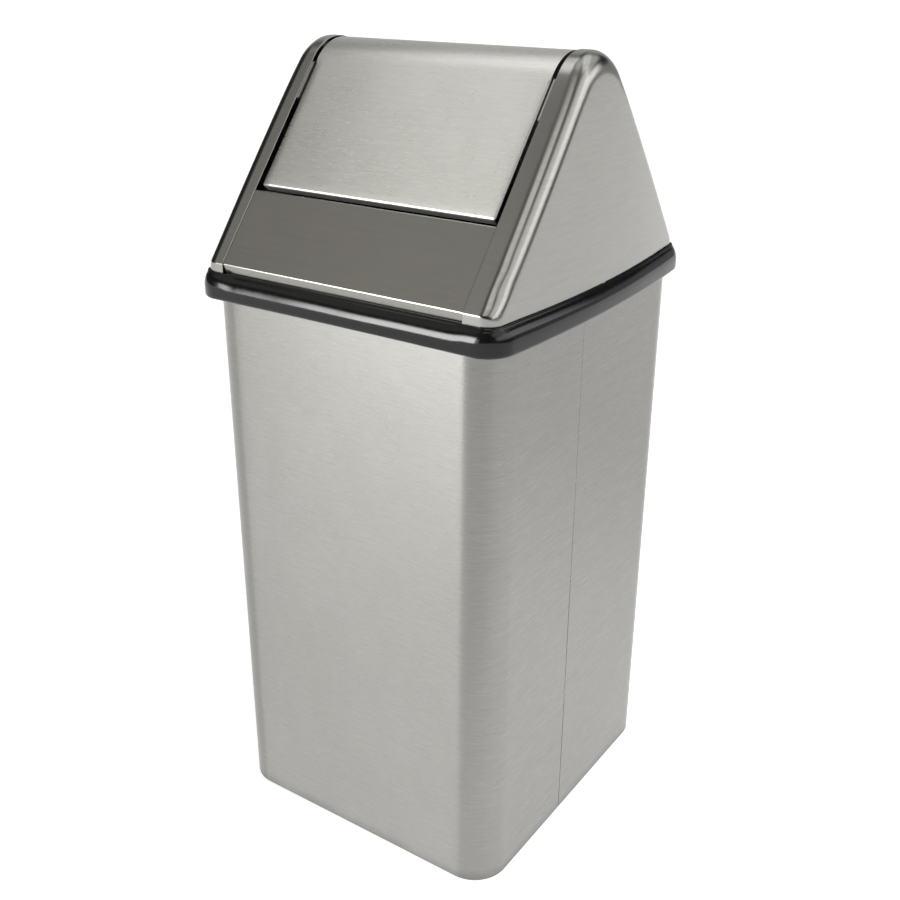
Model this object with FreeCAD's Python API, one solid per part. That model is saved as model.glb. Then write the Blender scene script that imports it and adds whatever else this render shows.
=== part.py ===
import FreeCAD, Part
import math
import os

# Swing-top waste bin: a wrapped stainless body on four low feet, an inner pail,
# and a lift-off gabled hood with an inverted-V door that swings under its ridge.
# Millimetres. Origin on the floor under the middle of the bin, +Z up,
# front face towards -Y, the sheet's butt seam on the +X face.

# ---------------------------------------------------------------- body
BODY_HX = 160.0          # half width of the body, outside
BODY_HY = 169.0          # half depth of the body, outside
BODY_R = 36.0            # outside radius of the upright corners
BODY_T = 0.9             # body sheet
BODY_Z0 = 1.5            # lower edge of the sheet above the floor
BODY_Z1 = 565.8          # top rim
HEM_H = 14.0             # height of the doubled hem inside the rim
SEAM_Y = -22.5           # middle of the open butt seam on the right face
SEAM_GAP = 0.7
STRIP_HW = 13.0          # half width of the strip behind the seam
STRIP_T = 1.0
WELD_Z = (152.0, 288.0)  # heights of the two tack welds
PAN_Z = 14.0             # upper face of the bottom pan
PAN_T = 0.9
FOOT_X = 112.0
FOOT_Y = 121.0
FOOT_R = 12.0

# ---------------------------------------------------------------- inner pail
PAIL_HX = 140.0
PAIL_HY = 149.0
PAIL_R = 30.0
PAIL_T = 0.8
PAIL_Z1 = 543.0          # top of the pail's wall, under the rolled rim
PAIL_FLOOR = 24.8        # upper face of the pail's bottom
EAR_Y = 55.0             # ears at +-EAR_Y on each side wall
EAR_Z = 520.0            # axis of the pail handles
EAR_OFF = 8.2            # axis distance from the wall's inner face
WIRE_R = 2.5             # handle wire
HANDLE_DROP = 58.0
HANDLE_HW = 44.0

# ---------------------------------------------------------------- hood
FOLD_Y = 173.7           # half depth of the lower panels at the fold
FOLD_Z = 588.2           # height of the fold
SLOPE = math.atan((647.94 - 588.2) / (173.7 - 124.86))   # slope of the roof
RIDGE_Z = 773.2          # top of the door's ridge
CAP_T = 1.0              # end cap sheet, lies outside the panels and the door
SHEET = 1.0              # panel and door sheet
HOOD_AMID = 166.0        # half width of the hood's foot at mid depth
HOOD_RS = 1200.0         # radius of the gently bowed gable faces
HOOD_LEAN = math.atan(11.0 / 200.0)   # gable faces lean in towards the ridge
HOOD_RC = 14.0           # rounding of the gable edges
FLANGE_X = 130.4         # inner edge of the end caps' wrapped flanges
LAP_X = 137.5            # panels run on under the flanges to here
HOOD_Z0 = 570.0          # underside of the hood's foot flange
THROAT_HX = 144.0        # opening inside the foot flange
THROAT_HY = 153.0
THROAT_R = 22.0
PANEL_S = 77.1           # length of the lower panel up the slope
PANEL_LIP = 8.0

# ---------------------------------------------------------------- rim band
BAND_AMID = 174.5
BAND_RS = 1200.0
BAND_HY = 182.5
BAND_R = 28.0
BAND_Z0 = 552.0
BAND_Z1 = 578.0
BAND_SEAT = 566.0        # underside of the web, just above the body's rim
BAND_RTOP = 7.0
BAND_RLOW = 4.0
BAND_BODY_GAP = 1.2
BAND_HOOD_GAP = 0.35
SPIGOT_HX = 155.5
SPIGOT_HY = 164.5
SPIGOT_R = 31.5
SPIGOT_T = 2.0

# ---------------------------------------------------------------- swing door
DOOR_HX = 126.0
DOOR_S = 82.2            # lower edge of the door, measured up the slope from the fold
DOOR_RIM = 9.0           # depth of the turned-in edges
DOOR_RF = 2.0            # rounding of the turned edges
DOOR_HEM_Y = 40.0        # side hems end this far from the ridge
PIVOT_Z = 738.0
PIN_R = 3.0
GUSSET_X0 = 123.8
GUSSET_X1 = 125.3
GUSSET_HW = 37.0
GUSSET_DROP = 13.0
BUSH_R = 4.5
BUSH_BORE = 3.05
BUSH_FLANGE_R = 6.5
BUSH_FLANGE_T = 2.0
BRACKET_X0 = 128.4
BRACKET_X1 = 129.9
BRACKET_Z0 = 723.0
BRACKET_Z1 = 753.0
TAB_X = 139.5
STOP_DROP = 36.0         # stop stud under the pivot
STOP_R = 4.5
STUD_R = 2.5

# ---------------------------------------------------------------- fixings
SCREW_X = 149.5
SCREW_Y = 158.5
SCREW_ROW_SIDE = (-95.0, 0.0, 95.0)
SCREW_ROW_FRONT = (-75.0, 0.0, 75.0)

V = FreeCAD.Vector
COS = math.cos(SLOPE)
SIN = math.sin(SLOPE)
TAN = math.tan(SLOPE)
APEX_Z = FOLD_Z + TAN * FOLD_Y
RIDGE_R = (APEX_Z - RIDGE_Z) / (1.0 / COS - 1.0)
RIDGE_C = RIDGE_Z - RIDGE_R


# ---------------------------------------------------------------- helpers
def line(a, b):
    return Part.LineSegment(a, b).toShape()


def arc(a, m, b):
    return Part.Arc(a, m, b).toShape()


def extrude(edges, d):
    return Part.Face(Part.Wire(edges)).extrude(d)


def poly(points, d):
    pts = list(points) + [points[0]]
    return Part.Face(Part.makePolygon(pts)).extrude(d)


def rrect_edges(hx, hy, r, z):
    """Rounded rectangle about the Z axis."""
    k = r * math.sqrt(0.5)
    cx, cy = hx - r, hy - r
    e = []
    e.append(line(V(-cx, -hy, z), V(cx, -hy, z)))
    e.append(arc(V(cx, -hy, z), V(cx + k, -cy - k, z), V(hx, -cy, z)))
    e.append(line(V(hx, -cy, z), V(hx, cy, z)))
    e.append(arc(V(hx, cy, z), V(cx + k, cy + k, z), V(cx, hy, z)))
    e.append(line(V(cx, hy, z), V(-cx, hy, z)))
    e.append(arc(V(-cx, hy, z), V(-cx - k, cy + k, z), V(-hx, cy, z)))
    e.append(line(V(-hx, cy, z), V(-hx, -cy, z)))
    e.append(arc(V(-hx, -cy, z), V(-cx - k, -cy - k, z), V(-cx, -hy, z)))
    return e


def rblock(hx, hy, r, z0, z1):
    return extrude(rrect_edges(hx, hy, r, z0), V(0, 0, z1 - z0))


def bow_edges(amid, rs, hy, r, z):
    """Rounded rectangle whose two long sides bow out on a radius rs."""
    ox = amid - rs
    dy = hy - r
    cx = ox + math.sqrt((rs - r) ** 2 - dy ** 2)
    ux, uy = (cx - ox) / (rs - r), dy / (rs - r)
    tx, ty = ox + rs * ux, rs * uy
    # middle of the corner arc, between straight down and (ux, uy)
    a0 = -math.pi / 2
    a1 = -math.atan2(uy, ux)
    am = 0.5 * (a0 + a1)
    mx, my = cx + r * math.cos(am), dy - r * math.sin(am)
    e = []
    e.append(line(V(-cx, -hy, z), V(cx, -hy, z)))
    e.append(arc(V(cx, -hy, z), V(mx, -my, z), V(tx, -ty, z)))
    e.append(arc(V(tx, -ty, z), V(amid, 0, z), V(tx, ty, z)))
    e.append(arc(V(tx, ty, z), V(mx, my, z), V(cx, hy, z)))
    e.append(line(V(cx, hy, z), V(-cx, hy, z)))
    e.append(arc(V(-cx, hy, z), V(-mx, my, z), V(-tx, ty, z)))
    e.append(arc(V(-tx, ty, z), V(-amid, 0, z), V(-tx, -ty, z)))
    e.append(arc(V(-tx, -ty, z), V(-mx, -my, z), V(-cx, -hy, z)))
    return e


def bow_block(amid, rs, hy, r, z0, z1):
    return extrude(bow_edges(amid, rs, hy, r, z0), V(0, 0, z1 - z0))


def box(x0, x1, y0, y1, z0, z1):
    return Part.makeBox(x1 - x0, y1 - y0, z1 - z0, V(x0, y0, z0))


def cyl(r, x, y, z, length, axis):
    return Part.makeCylinder(r, length, V(x, y, z), axis)


def pf(s, off, x=0.0):
    """Point on the front slope: s up from the fold, off outwards."""
    return V(x, -FOLD_Y + s * COS - off * SIN, FOLD_Z + s * SIN + off * COS)


def pr(s, off, x=0.0):
    p = pf(s, off, x)
    return V(p.x, -p.y, p.z)


def ridge_pts(off, x=0.0):
    rho = RIDGE_R + off
    return (V(x, -rho * SIN, RIDGE_C + rho * COS), V(x, 0, RIDGE_C + rho),
            V(x, rho * SIN, RIDGE_C + rho * COS))


def roof_block(off, zb, x0, x1):
    """Everything under the roof surface, moved out by off, down to zb."""
    hy = FOLD_Y + off
    zf = FOLD_Z + off * (1.0 / COS - TAN)
    t0, tm, t1 = ridge_pts(off, x0)
    a = V(x0, -hy, zb)
    b = V(x0, -hy, zf)
    c = V(x0, hy, zf)
    d = V(x0, hy, zb)
    e = [line(a, b), line(b, t0), arc(t0, tm, t1), line(t1, c), line(c, d), line(d, a)]
    return extrude(e, V(x1 - x0, 0, 0))


def mirror_x(shape):
    return shape.mirror(V(0, 0, 0), V(1, 0, 0))


def mirror_y(shape):
    return shape.mirror(V(0, 0, 0), V(0, 1, 0))


def edges_near(shape, test):
    return [e for e in shape.Edges if test(e)]


nodes = {}


def solids_of(shape):
    return [s for s in shape.Solids]


def put(name, shape):
    sol = solids_of(shape)
    shp = sol[0] if len(sol) == 1 else Part.makeCompound(sol)
    bad = [i for i, s in enumerate(sol) if not s.isValid() or s.Volume <= 0]
    if not sol or bad:
        print("PROBLEM", name, "solids", len(sol), "bad", bad)
    nodes[name] = shp


def group(shapes):
    return Part.makeCompound([s for sh in shapes for s in sh.Solids])


# ================================================================ body
shell = rblock(BODY_HX, BODY_HY, BODY_R, BODY_Z0, BODY_Z1)
shell = shell.cut(rblock(BODY_HX - BODY_T, BODY_HY - BODY_T, BODY_R - BODY_T,
                         BODY_Z0 - 1, BODY_Z1 + 1))
hem = rblock(BODY_HX - BODY_T, BODY_HY - BODY_T, BODY_R - BODY_T, BODY_Z1 - HEM_H, BODY_Z1)
hem = hem.cut(rblock(BODY_HX - 2 * BODY_T, BODY_HY - 2 * BODY_T, BODY_R - 2 * BODY_T,
                     BODY_Z1 - HEM_H - 1, BODY_Z1 + 1))
shell = shell.fuse(hem)
shell = shell.cut(box(BODY_HX - 10, BODY_HX + 10, SEAM_Y - SEAM_GAP / 2, SEAM_Y + SEAM_GAP / 2,
                      BODY_Z0 - 1, BODY_Z1 + 1)).removeSplitter()
put("body_shell", shell)

xin = BODY_HX - BODY_T
put("seam_backing_strip", box(xin - STRIP_T, xin, SEAM_Y - STRIP_HW, SEAM_Y + STRIP_HW,
                              PAN_Z + 1.0, BODY_Z1 - HEM_H - 1.0))

welds = []
for wz in WELD_Z:
    core = box(xin, BODY_HX, SEAM_Y - SEAM_GAP / 2, SEAM_Y + SEAM_GAP / 2, wz - 3.0, wz + 3.0)
    bead = Part.makeSphere(6.0, V(BODY_HX - 5.4, SEAM_Y, wz))
    bead = bead.common(box(BODY_HX, BODY_HX + 3, SEAM_Y - 1.4, SEAM_Y + 1.4, wz - 5, wz + 5))
    welds.append(core.fuse(bead).removeSplitter())
put("seam_tack_welds", group(welds))

pan = rblock(xin - 0.1, BODY_HY - BODY_T - 0.1, BODY_R - BODY_T - 0.1, 3.0, PAN_Z)
pan = pan.cut(rblock(xin - 0.1 - PAN_T, BODY_HY - BODY_T - 0.1 - PAN_T, BODY_R - BODY_T - 0.1 - PAN_T,
                     2.0, PAN_Z - PAN_T))
feet, rivets = [], []
for sx in (-1, 1):
    for sy in (-1, 1):
        fx, fy = sx * FOOT_X, sy * FOOT_Y
        pan = pan.cut(cyl(2.6, fx, fy, PAN_Z - 5, 10, V(0, 0, 1)))
        foot = Part.makeCone(FOOT_R - 1.5, FOOT_R, PAN_Z - PAN_T, V(fx, fy, 0), V(0, 0, 1))
        foot = foot.cut(cyl(2.6, fx, fy, -1, 30, V(0, 0, 1)))
        foot = foot.cut(cyl(6.0, fx, fy, -1, 5.0, V(0, 0, 1)))
        feet.append(foot)
        riv = cyl(2.5, fx, fy, 3.0, PAN_Z - 3.0, V(0, 0, 1))
        head = Part.makeSphere(6.0, V(fx, fy, PAN_Z - 3.6)).common(
            box(fx - 6, fx + 6, fy - 6, fy + 6, PAN_Z, PAN_Z + 4))
        tail = cyl(4.2, fx, fy, 2.6, 1.4, V(0, 0, 1))
        rivets.append(riv.fuse([head, tail]).removeSplitter())
put("bottom_pan", pan)
put("foot_glides", group(feet))
put("foot_rivets", group(rivets))

# ================================================================ inner pail
pail = rblock(PAIL_HX, PAIL_HY, PAIL_R, PAN_Z, PAIL_Z1)
pail = pail.cut(rblock(PAIL_HX - PAIL_T, PAIL_HY - PAIL_T, PAIL_R - PAIL_T, PAN_Z - 1, PAIL_Z1 + 1))
px = PAIL_HX - PAIL_T            # inner face of the pail's side walls
ears, ear_rivets = [], []
for sx in (-1, 1):
    for sy in (-1, 1):
        y0 = sy * EAR_Y
        plate = box(px - 1.6, px - 0.1, y0 - 15, y0 + 15, EAR_Z - 9, EAR_Z + 9)
        plate = plate.makeFillet(4.0, [e for e in plate.Edges
                                       if abs(e.Vertexes[0].Y - e.Vertexes[-1].Y) < 1e-6
                                       and abs(e.Vertexes[0].Z - e.Vertexes[-1].Z) < 1e-6])
        lug = box(px - EAR_OFF, px - 1.5, y0 - 3, y0 + 3, EAR_Z - 5.5, EAR_Z + 5.5)
        lug = lug.fuse(cyl(5.5, px - EAR_OFF, y0 - 3, EAR_Z, 6, V(0, 1, 0)))
        ear = plate.fuse(lug).removeSplitter()
        ear = ear.cut(cyl(WIRE_R + 0.07, px - EAR_OFF, y0 - 20, EAR_Z, 40, V(0, 1, 0)))
        for dy in (-10.0, 10.0):
            hole = cyl(2.05, px - 5, y0 + dy, EAR_Z, 10, V(1, 0, 0))
            ear = ear.cut(hole)
            cut_hole = hole if sx > 0 else mirror_x(hole)
            pail = pail.cut(cut_hole)
            riv = cyl(2.0, px - 1.6, y0 + dy, EAR_Z, 1.6 + PAIL_T, V(1, 0, 0))
            hd = Part.makeSphere(4.0, V(px - 1.6 + 2.0, y0 + dy, EAR_Z)).common(
                box(px - 5, px - 1.6, y0 + dy - 5, y0 + dy + 5, EAR_Z - 5, EAR_Z + 5))
            tl = cyl(3.2, PAIL_HX, y0 + dy, EAR_Z, 1.2, V(1, 0, 0))
            r = riv.fuse([hd, tl]).removeSplitter()
            ear_rivets.append(r if sx > 0 else mirror_x(r))
        ears.append(ear if sx > 0 else mirror_x(ear))
put("liner_pail", pail)
bot = rblock(px - 0.1, PAIL_HY - PAIL_T - 0.1, PAIL_R - PAIL_T - 0.1, PAN_Z + 3.5, PAIL_FLOOR)
bot = bot.cut(rblock(px - 0.1 - PAIL_T, PAIL_HY - 2 * PAIL_T - 0.1, PAIL_R - 2 * PAIL_T - 0.1,
                     PAN_Z, PAIL_FLOOR - PAIL_T))
put("liner_bottom", bot)
bead = rblock(PAIL_HX + 2.6, PAIL_HY + 2.6, PAIL_R + 2.6, PAIL_Z1, PAIL_Z1 + 6.0)
bead = bead.cut(rblock(PAIL_HX - 3.2, PAIL_HY - 3.2, PAIL_R - 3.2, PAIL_Z1 - 1, PAIL_Z1 + 7.0))
bead = bead.makeFillet(2.5, [e for e in bead.Edges
                             if abs(e.CenterOfMass.z - PAIL_Z1 - 6.0) < 1e-6])
put("liner_rim_bead", bead)
put("handle_ears", group(ears))
put("ear_rivets", group(ear_rivets))

hx = px - EAR_OFF
rb = 9.0
zt, zl = EAR_Z, EAR_Z - HANDLE_DROP
q = rb * (1 - math.sqrt(0.5))


def hp(y, z):
    return V(hx, y, z)


path = Part.Wire([
    line(hp(EAR_Y + 8, zt), hp(HANDLE_HW + rb, zt)),
    arc(hp(HANDLE_HW + rb, zt), hp(HANDLE_HW + q, zt - q), hp(HANDLE_HW, zt - rb)),
    line(hp(HANDLE_HW, zt - rb), hp(HANDLE_HW, zl + rb)),
    arc(hp(HANDLE_HW, zl + rb), hp(HANDLE_HW - q, zl + q), hp(HANDLE_HW - rb, zl)),
    line(hp(HANDLE_HW - rb, zl), hp(-HANDLE_HW + rb, zl)),
    arc(hp(-HANDLE_HW + rb, zl), hp(-HANDLE_HW + q, zl + q), hp(-HANDLE_HW, zl + rb)),
    line(hp(-HANDLE_HW, zl + rb), hp(-HANDLE_HW, zt - rb)),
    arc(hp(-HANDLE_HW, zt - rb), hp(-HANDLE_HW - q, zt - q), hp(-HANDLE_HW - rb, zt)),
    line(hp(-HANDLE_HW - rb, zt), hp(-EAR_Y - 8, zt)),
])
prof = Part.Wire([Part.Circle(hp(EAR_Y + 8, zt), V(0, -1, 0), WIRE_R).toShape()])
wire = path.makePipeShell([prof], True, False)
put("liner_handle_right", wire)
put("liner_handle_left", mirror_x(wire))

# ================================================================ hood: end caps
def side_limits(inset):
    """The space between the two gently bowed, leaning gable faces."""
    sol = None
    for sx in (1, -1):
        ax = V(-sx * math.sin(HOOD_LEAN), 0, math.cos(HOOD_LEAN))
        base = V(sx * (HOOD_AMID - HOOD_RS / math.cos(HOOD_LEAN)), 0, HOOD_Z0)
        base = base - ax * 150.0
        c = Part.makeCylinder(HOOD_RS - inset, 500.0, base, ax)
        sol = c if sol is None else sol.common(c)
    return sol


def hood_block(off, zb, inset, rc):
    blk = roof_block(off, zb, -200.0, 200.0).common(side_limits(inset))
    ed = [e for e in blk.Edges if abs(e.CenterOfMass.x) > 120 and e.CenterOfMass.z > zb + 0.5]
    return blk.makeFillet(rc, ed)


outer = hood_block(CAP_T, HOOD_Z0, 0.0, HOOD_RC)
inner = hood_block(0.0, HOOD_Z0 + CAP_T, CAP_T, HOOD_RC - CAP_T)
skin = outer.cut(inner)
skin = skin.cut(rblock(THROAT_HX, THROAT_HY, THROAT_R, HOOD_Z0 - 5, HOOD_Z0 + CAP_T + 0.01))
cap_r = skin.common(box(FLANGE_X, 260, -260, 260, 500, 900))

screw_pos_side = [(SCREW_X, y) for y in SCREW_ROW_SIDE]
screw_pos_front = [(x, -SCREW_Y) for x in SCREW_ROW_FRONT]
for (sx_, sy_) in screw_pos_side:
    cap_r = cap_r.cut(cyl(2.15, sx_, sy_, HOOD_Z0 - 3, 10, V(0, 0, 1)))
cap_r = cap_r.removeSplitter()
put("right_end_cap", cap_r)
put("left_end_cap", mirror_x(cap_r))

# ================================================================ hood: lower panels
zi = FOLD_Z - SHEET * (1.0 / COS - TAN)
pts = [V(0, -FOLD_Y, HOOD_Z0), V(0, -FOLD_Y, FOLD_Z), pf(PANEL_S, 0), pf(PANEL_S, -PANEL_LIP),
       pf(PANEL_S - SHEET, -PANEL_LIP), pf(PANEL_S - SHEET, -SHEET), V(0, -FOLD_Y + SHEET, zi),
       V(0, -FOLD_Y + SHEET, HOOD_Z0 + SHEET), V(0, -THROAT_HY, HOOD_Z0 + SHEET),
       V(0, -THROAT_HY, HOOD_Z0)]
pts = [V(-LAP_X, p.y, p.z) for p in pts]
panel = poly(pts, V(2 * LAP_X, 0, 0))


def at_yz(e, y, z):
    c = e.CenterOfMass
    return abs(c.y - y) < 0.05 and abs(c.z - z) < 0.05 and e.Length > 100


panel = panel.makeFillet(2.4, edges_near(panel, lambda e: at_yz(e, -FOLD_Y, FOLD_Z)))
panel = panel.makeFillet(1.4, edges_near(panel, lambda e: at_yz(e, -FOLD_Y + SHEET, zi)))
tp = pf(PANEL_S, 0)
panel = panel.makeFillet(0.9, edges_near(panel, lambda e: at_yz(e, tp.y, tp.z)))
for sgn in (-1, 1):
    xa, xb = sorted((sgn * (FLANGE_X - 0.4), sgn * (LAP_X + 1)))
    panel = panel.cut(box(xa, xb, -200, 0, HOOD_Z0 - 1, HOOD_Z0 + CAP_T + 0.3))
for (sx_, sy_) in screw_pos_front:
    panel = panel.cut(cyl(2.15, sx_, sy_, HOOD_Z0 - 3, 10, V(0, 0, 1)))
put("front_panel", panel)
put("rear_panel", mirror_y(panel))

# ================================================================ hood: bumper band
band = bow_block(BAND_AMID, BAND_RS, BAND_HY, BAND_R, BAND_Z0, BAND_Z1)
band = band.makeFillet(BAND_RTOP, [e for e in band.Edges if abs(e.CenterOfMass.z - BAND_Z1) < 1e-4])
band = band.makeFillet(BAND_RLOW, [e for e in band.Edges if abs(e.CenterOfMass.z - BAND_Z0) < 1e-4])
band = band.cut(bow_block(HOOD_AMID + BAND_HOOD_GAP, HOOD_RS + BAND_HOOD_GAP,
                          FOLD_Y + CAP_T + BAND_HOOD_GAP, HOOD_RC + BAND_HOOD_GAP,
                          HOOD_Z0, BAND_Z1 + 5))
g = BAND_BODY_GAP
band = band.cut(rblock(BODY_HX + g, BODY_HY + g, BODY_R + g, BAND_Z0 - 5, BAND_SEAT))
spig = rblock(SPIGOT_HX, SPIGOT_HY, SPIGOT_R, BAND_Z0, BAND_SEAT + 0.5)
band = band.fuse(spig)
band = band.cut(rblock(SPIGOT_HX - SPIGOT_T, SPIGOT_HY - SPIGOT_T, SPIGOT_R - SPIGOT_T,
                       BAND_Z0 - 5, BAND_SEAT))
band = band.cut(rblock(THROAT_HX, THROAT_HY, THROAT_R, BAND_Z0 - 5, BAND_Z1 + 5))
all_screws = []
for (sx_, sy_) in screw_pos_side:
    all_screws += [(sx_, sy_), (-sx_, sy_)]
for (sx_, sy_) in screw_pos_front:
    all_screws += [(sx_, sy_), (sx_, -sy_)]
screws, nuts = [], []
for (x0, y0) in all_screws:
    band = band.cut(cyl(2.15, x0, y0, BAND_SEAT - 2, 10, V(0, 0, 1)))
    head = cyl(3.5, x0, y0, BAND_SEAT - 2.2, 2.2, V(0, 0, 1))
    head = head.makeFillet(0.9, [e for e in head.Edges if abs(e.CenterOfMass.z - BAND_SEAT + 2.2) < 1e-6
                                 and len(e.Vertexes) == 1])
    shank = cyl(2.0, x0, y0, BAND_SEAT, 11.0, V(0, 0, 1))
    cross = box(x0 - 2.2, x0 + 2.2, y0 - 0.4, y0 + 0.4, BAND_SEAT - 3, BAND_SEAT - 1.3)
    cross2 = box(x0 - 0.4, x0 + 0.4, y0 - 2.2, y0 + 2.2, BAND_SEAT - 3, BAND_SEAT - 1.3)
    screws.append(head.fuse(shank).cut(cross).cut(cross2).removeSplitter())
    nz = HOOD_Z0 + SHEET
    nut = box(x0 - 4.5, x0 + 4.5, y0 - 4.5, y0 + 4.5, nz, nz + 3.0)
    nut = nut.cut(cyl(2.1, x0, y0, nz - 1, 6, V(0, 0, 1)))
    nuts.append(nut)
put("rim_band", band.removeSplitter())
put("band_screws", group(screws))
put("band_nuts", group(nuts))

# ================================================================ hood: pivot brackets
def slope_y(z, off=0.0):
    """Half depth of the roof surface at height z."""
    return (APEX_Z + off / COS - z) / TAN


ya, yb = slope_y(BRACKET_Z0), slope_y(BRACKET_Z1)
sz = PIVOT_Z - STOP_DROP
tw = 12.0
pl = [V(BRACKET_X0, -ya, BRACKET_Z0), V(BRACKET_X0, -yb, BRACKET_Z1), V(BRACKET_X0, yb, BRACKET_Z1),
      V(BRACKET_X0, ya, BRACKET_Z0), V(BRACKET_X0, tw, BRACKET_Z0), V(BRACKET_X0, tw, sz),
      V(BRACKET_X0, -tw, sz), V(BRACKET_X0, -tw, BRACKET_Z0)]
brk = poly(pl, V(BRACKET_X1 - BRACKET_X0, 0, 0))
brk = brk.fuse(cyl(tw, BRACKET_X0, 0, sz, BRACKET_X1 - BRACKET_X0, V(1, 0, 0)))
for mk in (pf, pr):
    s0 = (BRACKET_Z0 - FOLD_Z) / SIN
    s1 = (BRACKET_Z1 - FOLD_Z) / SIN
    tab = poly([mk(s0, 0, BRACKET_X0), mk(s1, 0, BRACKET_X0), mk(s1, -1.5, BRACKET_X0),
                mk(s0, -1.5, BRACKET_X0)], V(TAB_X - BRACKET_X0, 0, 0))
    brk = brk.fuse(tab)
brk = brk.cut(cyl(PIN_R + 0.05, BRACKET_X0 - 5, 0, PIVOT_Z, 20, V(1, 0, 0)))
brk = brk.fuse(cyl(STUD_R, GUSSET_X0 - 4.3, 0, sz, BRACKET_X0 + 0.5 - GUSSET_X0 + 4.3, V(1, 0, 0)))
brk = brk.removeSplitter()
put("pivot_bracket_right", brk)
put("pivot_bracket_left", mirror_x(brk))

pin = cyl(PIN_R, GUSSET_X0 - 6.0, 0, PIVOT_Z, BRACKET_X1 - GUSSET_X0 + 6.0, V(1, 0, 0))
phead = cyl(6.0, BRACKET_X1, 0, PIVOT_Z, 3.0, V(1, 0, 0))
phead = phead.makeFillet(1.2, [e for e in phead.Edges if abs(e.CenterOfMass.x - BRACKET_X1 - 3.0) < 1e-6
                               and len(e.Vertexes) == 1])
pin = pin.fuse(phead).removeSplitter()
put("pivot_pins", group([pin, mirror_x(pin)]))

ret = cyl(6.0, GUSSET_X0 - 4.6, 0, PIVOT_Z, 1.2, V(1, 0, 0)).cut(
    cyl(PIN_R + 0.03, GUSSET_X0 - 8, 0, PIVOT_Z, 8, V(1, 0, 0)))
put("pin_retainers", group([ret, mirror_x(ret)]))

wash = cyl(6.0, BRACKET_X0 - 0.8, 0, PIVOT_Z, 0.8, V(1, 0, 0)).cut(
    cyl(PIN_R + 0.1, BRACKET_X0 - 4, 0, PIVOT_Z, 8, V(1, 0, 0)))
put("thrust_washers", group([wash, mirror_x(wash)]))

bump = cyl(STOP_R, GUSSET_X0 - 4.0, 0, sz, BRACKET_X0 - 0.1 - GUSSET_X0 + 4.0, V(1, 0, 0))
bump = bump.cut(cyl(STUD_R + 0.05, GUSSET_X0 - 8, 0, sz, 30, V(1, 0, 0)))
put("stop_bumpers", group([bump, mirror_x(bump)]))

# ================================================================ swing door
def door_slab(o0, o1, s0, hxx):
    a0, am, a1 = ridge_pts(o0, -hxx)
    b0, bm, b1 = ridge_pts(o1, -hxx)
    e = [line(pf(s0, o0, -hxx), a0), arc(a0, am, a1), line(a1, pr(s0, o0, -hxx)),
         line(pr(s0, o0, -hxx), pr(s0, o1, -hxx)), line(pr(s0, o1, -hxx), b1),
         arc(b1, bm, b0), line(b0, pf(s0, o1, -hxx)), line(pf(s0, o1, -hxx), pf(s0, o0, -hxx))]
    return extrude(e, V(2 * hxx, 0, 0))


def off_of(p):
    """Outward distance of a point from the roof surface."""
    y = abs(p.y)
    t0 = RIDGE_R * SIN
    # signed distance to the slope plane, or to the ridge cylinder above it
    d = (p.z - FOLD_Z - TAN * (FOLD_Y - y)) * COS
    rr = math.hypot(y, p.z - RIDGE_C)
    ang = math.atan2(y, p.z - RIDGE_C)
    return rr - RIDGE_R if abs(ang) < SLOPE else d


blk = door_slab(0.0, -DOOR_RIM, DOOR_S, DOOR_HX)
zedge = pf(DOOR_S, 0).z


def door_round(e):
    vs = [v.Point for v in e.Vertexes]
    outer_edge = all(abs(off_of(p)) < 0.02 for p in vs)
    mid = e.valueAt(0.5 * (e.FirstParameter + e.LastParameter))
    if outer_edge and abs(off_of(mid)) < 0.02:
        if all(abs(abs(p.x) - DOOR_HX) < 1e-4 for p in vs) and abs(vs[0].x - vs[-1].x) < 1e-4:
            return True
        if all(abs(p.z - zedge) < 1e-3 for p in vs):
            return True
    return False


blk = blk.makeFillet(DOOR_RF, [e for e in blk.Edges if door_round(e)])
cav = door_slab(-SHEET, -DOOR_RIM - 3.0, DOOR_S + SHEET, DOOR_HX - SHEET)
door = blk.cut(cav)
under = roof_block(-SHEET - 0.02, HOOD_Z0, -200.0, 200.0)
for sgn in (-1, 1):
    xa, xb = sorted((sgn * (DOOR_HX - SHEET - 0.5), sgn * (DOOR_HX + 1)))
    door = door.cut(under.common(box(xa, xb, -DOOR_HEM_Y, DOOR_HEM_Y, 640.0, 790.0)))
put("swing_door", door.removeSplitter())

gus = roof_block(-SHEET - 0.05, HOOD_Z0, GUSSET_X0, GUSSET_X1)
gus = gus.common(box(GUSSET_X0 - 1, GUSSET_X1 + 1, -GUSSET_HW, GUSSET_HW, PIVOT_Z - GUSSET_DROP, 800.0))
gus = gus.cut(cyl(BUSH_R + 0.02, GUSSET_X0 - 5, 0, PIVOT_Z, 12, V(1, 0, 0)))
put("door_gusset_right", gus)
put("door_gusset_left", mirror_x(gus))

bush = cyl(BUSH_R, GUSSET_X0 - 2.0, 0, PIVOT_Z, GUSSET_X1 - GUSSET_X0 + 2.0, V(1, 0, 0))
bush = bush.fuse(cyl(BUSH_FLANGE_R, GUSSET_X1, 0, PIVOT_Z, BUSH_FLANGE_T, V(1, 0, 0)))
bush = bush.cut(cyl(BUSH_BORE, GUSSET_X0 - 6, 0, PIVOT_Z, 20, V(1, 0, 0))).removeSplitter()
put("pivot_bushes", group([bush, mirror_x(bush)]))

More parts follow.
